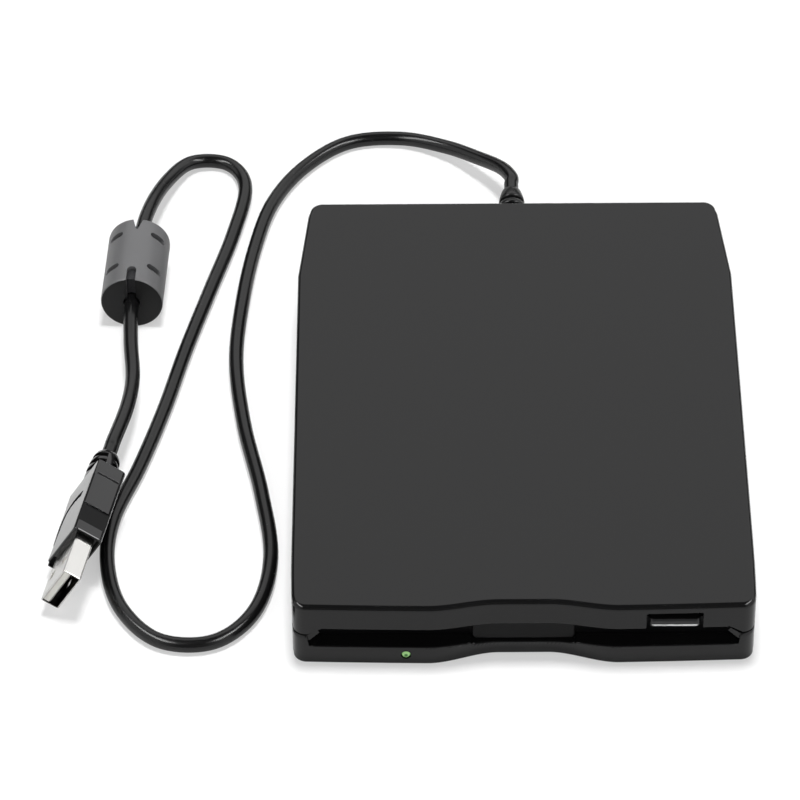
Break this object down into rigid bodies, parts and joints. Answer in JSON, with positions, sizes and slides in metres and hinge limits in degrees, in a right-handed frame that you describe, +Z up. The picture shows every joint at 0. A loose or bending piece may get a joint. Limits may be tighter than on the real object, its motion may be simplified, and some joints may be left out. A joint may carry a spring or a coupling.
{
  "type": "external floppy disk drive",
  "caption": "Slim slot-loading external floppy disk drive in a flat dark case, with a hinged dust door, an eject button, a green light and a fixed cord with a ferrite and a flat plug.",
  "frame": {"origin": "under the middle of the case, on the plane on which its feet stand", "axes": "+Z up, -Y out of the front with the disk slot, +X to the right seen from the front"},
  "size_m": [0.161, 0.1889, 0.018],
  "materials": {
    "case_plastic": "fine satin texture, near black",
    "front_plastic": "smooth semi-gloss, near black",
    "rubber": "matt",
    "screw_steel": "black zinc",
    "sheet_steel": "zinc plated sheet",
    "spring_steel": "bright wire",
    "light_pipe": "clear green light pipe",
    "led_body": "clear resin",
    "board": "green solder mask",
    "copper": "enamelled copper wire",
    "bronze": "sintered bronze",
    "magnet": "dark bonded magnet",
    "bright_metal": "ground steel",
    "dark_plastic": "moulded",
    "white_plastic": "moulded",
    "head_ceramic": "polished",
    "flex": "amber film",
    "cord_jacket": "semi-gloss flexible jacket",
    "ferrite_shell": "grey-black moulding",
    "ferrite": "dark sintered ferrite",
    "plug_body": "moulded, semi-gloss",
    "nickel": "nickel plated",
    "gold": "gold plated"
  },
  "bodies": {
    "frame": {"top_cover": "case_plastic", "bottom_cover": "case_plastic", "rubber_feet": "rubber", "case_screws": "screw_steel", "chassis_screws": "screw_steel", "door_spring": "spring_steel", "led_lens": "light_pipe", "indicator_led": "led_body", "chassis": "sheet_steel", "mechanism_cover": "sheet_steel", "cover_screws": "screw_steel", "eject_springs": "spring_steel", "motor_board": "board", "spindle_bearing": "bronze", "stator_coils": "copper", "stepper_motor": "sheet_steel", "screw_bearing": "white_plastic", "guide_rods": "bright_metal", "track_sensor": "dark_plastic", "disk_switches": "dark_plastic", "head_flex": "flex", "main_board": "board", "controller_chip": "dark_plastic", "crystal": "bright_metal", "capacitors": "head_ceramic", "cable_connector": "white_plastic", "inner_cable": "cord_jacket", "strain_relief": "cord_jacket", "usb_cord": "cord_jacket", "ferrite_jacket": "ferrite_shell", "ferrite_core": "ferrite", "plug_overmould": "plug_body", "plug_shell": "nickel", "plug_tongue": "white_plastic", "plug_contacts": "gold"},
    "door": {"dust_door": "front_plastic"},
    "slider": {"slider_plate": "sheet_steel", "eject_button": "front_plastic"},
    "holder": {"disk_holder": "sheet_steel", "lever_spring": "spring_steel"},
    "lever": {"shutter_lever": "white_plastic"},
    "spindle": {"spindle_rotor": "bright_metal", "rotor_magnet": "magnet", "spindle_hub": "bright_metal"},
    "screw": {"lead_screw": "bright_metal"},
    "carriage": {"head_carriage": "dark_plastic", "lower_head": "head_ceramic", "arm_spring": "spring_steel"},
    "arm": {"head_arm": "dark_plastic", "upper_head": "head_ceramic"}
  },
  "joints": [
    {"name": "dust_door_hinge", "type": "hinge", "parent": "frame", "child": "door", "pos_m": [0, -0.067, 0.0117], "axis": [1, 0, 0], "range_deg": [0, 80], "stiffness_Nm_per_rad": 0.0002, "springref_deg": -22.92, "deforming": ["door_spring"]},
    {"name": "eject_slide", "type": "slide", "parent": "frame", "child": "slider", "axis": [0, -1, 0], "range_m": [0, 0.004], "deforming": ["eject_springs"]},
    {"name": "holder_drop", "type": "slide", "parent": "frame", "child": "holder", "axis": [0, 0, -1], "range_m": [0, 0.002]},
    {"name": "shutter_lever_swing", "type": "hinge", "parent": "holder", "child": "lever", "pos_m": [-0.04, 0.0018, 0.0125], "axis": [0, 0, 1], "range_deg": [0, 67], "stiffness_Nm_per_rad": 0.0001, "springref_deg": -17.19, "deforming": ["lever_spring"]},
    {"name": "head_carriage_slide", "type": "slide", "parent": "frame", "child": "carriage", "axis": [0, -1, 0], "range_m": [0, 0.0148]},
    {"name": "lead_screw_turn", "type": "hinge", "parent": "frame", "child": "screw", "pos_m": [0.02, 0.031, 0.00945], "axis": [0, -1, 0], "range_deg": [0, 1421]},
    {"name": "head_arm_hinge", "type": "hinge", "parent": "carriage", "child": "arm", "pos_m": [0, 0.0504, 0.013], "axis": [1, 0, 0], "range_deg": [0, 9], "deforming": ["arm_spring"]},
    {"name": "spindle_turn", "type": "hinge", "parent": "frame", "child": "spindle", "pos_m": [0, -0.018, 0.005], "axis": [0, 0, 1], "continuous": true}
  ],
  "couplings": [
    {"joint": "holder_drop", "follows": "eject_slide", "ratio": 0.5},
    {"joint": "head_arm_hinge", "follows": "eject_slide", "rad_per_m": 39.269},
    {"joint": "lead_screw_turn", "follows": "head_carriage_slide", "rad_per_m": 1675.5}
  ]
}
